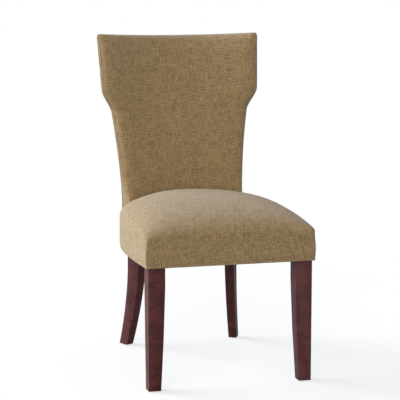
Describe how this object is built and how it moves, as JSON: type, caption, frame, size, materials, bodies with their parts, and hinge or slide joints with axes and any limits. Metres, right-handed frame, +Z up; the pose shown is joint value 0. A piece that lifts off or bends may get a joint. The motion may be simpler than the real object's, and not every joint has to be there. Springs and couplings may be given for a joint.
{
  "type": "upholstered dining chair",
  "caption": "Side chair with a crowned upholstered seat, a concave barrel back with flared wings, square tapered front legs and splayed sabre rear legs.",
  "frame": {"origin": "on the floor, under the middle of the chair's width and depth", "axes": "+Z up, +Y from the front of the seat to the back, +X to the right for a viewer facing the front"},
  "size_m": [0.5272, 0.6982, 1],
  "materials": {
    "stained_hardwood": "dark red mahogany stain, satin lacquer, cross ribbon figure",
    "frame_hardwood": "planed beech, unfinished",
    "block_hardwood": "sawn beech, unfinished",
    "zinc_steel": "zinc plated",
    "woven_webbing": "elastic webbing, woven",
    "jute_hessian": "plain jute weave",
    "seat_foam": "open cell polyurethane foam",
    "polyester_wadding": "needled polyester wadding",
    "linen_cover": "tan slub linen weave",
    "backing_board": "grey pressed board",
    "black_cambric": "spun black cambric",
    "nylon_glide": "moulded brown nylon"
  },
  "bodies": {
    "root": {"left_front_leg": "stained_hardwood", "right_front_leg": "stained_hardwood", "left_rear_post": "stained_hardwood", "right_rear_post": "stained_hardwood", "front_seat_rail": "frame_hardwood", "back_seat_rail": "frame_hardwood", "left_seat_rail": "frame_hardwood", "right_seat_rail": "frame_hardwood", "back_lower_rail": "frame_hardwood", "back_middle_rail": "frame_hardwood", "back_top_rail": "frame_hardwood", "left_wing_block": "frame_hardwood", "right_wing_block": "frame_hardwood", "front_left_corner_block": "block_hardwood", "front_right_corner_block": "block_hardwood", "rear_left_corner_block": "block_hardwood", "rear_right_corner_block": "block_hardwood", "seat_rail_dowels": "block_hardwood", "back_rail_dowels": "block_hardwood", "corner_block_screws": "zinc_steel", "wing_block_screws": "zinc_steel", "dust_cover_staples": "zinc_steel", "seat_webbing_lengthwise": "woven_webbing", "seat_webbing_crosswise": "woven_webbing", "back_webbing": "woven_webbing", "seat_hessian": "jute_hessian", "back_hessian": "jute_hessian", "seat_foam": "seat_foam", "back_foam": "seat_foam", "seat_wadding": "polyester_wadding", "back_wadding": "polyester_wadding", "seat_cover": "linen_cover", "left_rear_flap": "linen_cover", "right_rear_flap": "linen_cover", "inside_back_cover": "linen_cover", "outside_back_cover": "linen_cover", "outside_back_board": "backing_board", "dust_cover": "black_cambric", "front_left_glide": "nylon_glide", "front_right_glide": "nylon_glide", "rear_left_glide": "nylon_glide", "rear_right_glide": "nylon_glide"}
  },
  "joints": []
}
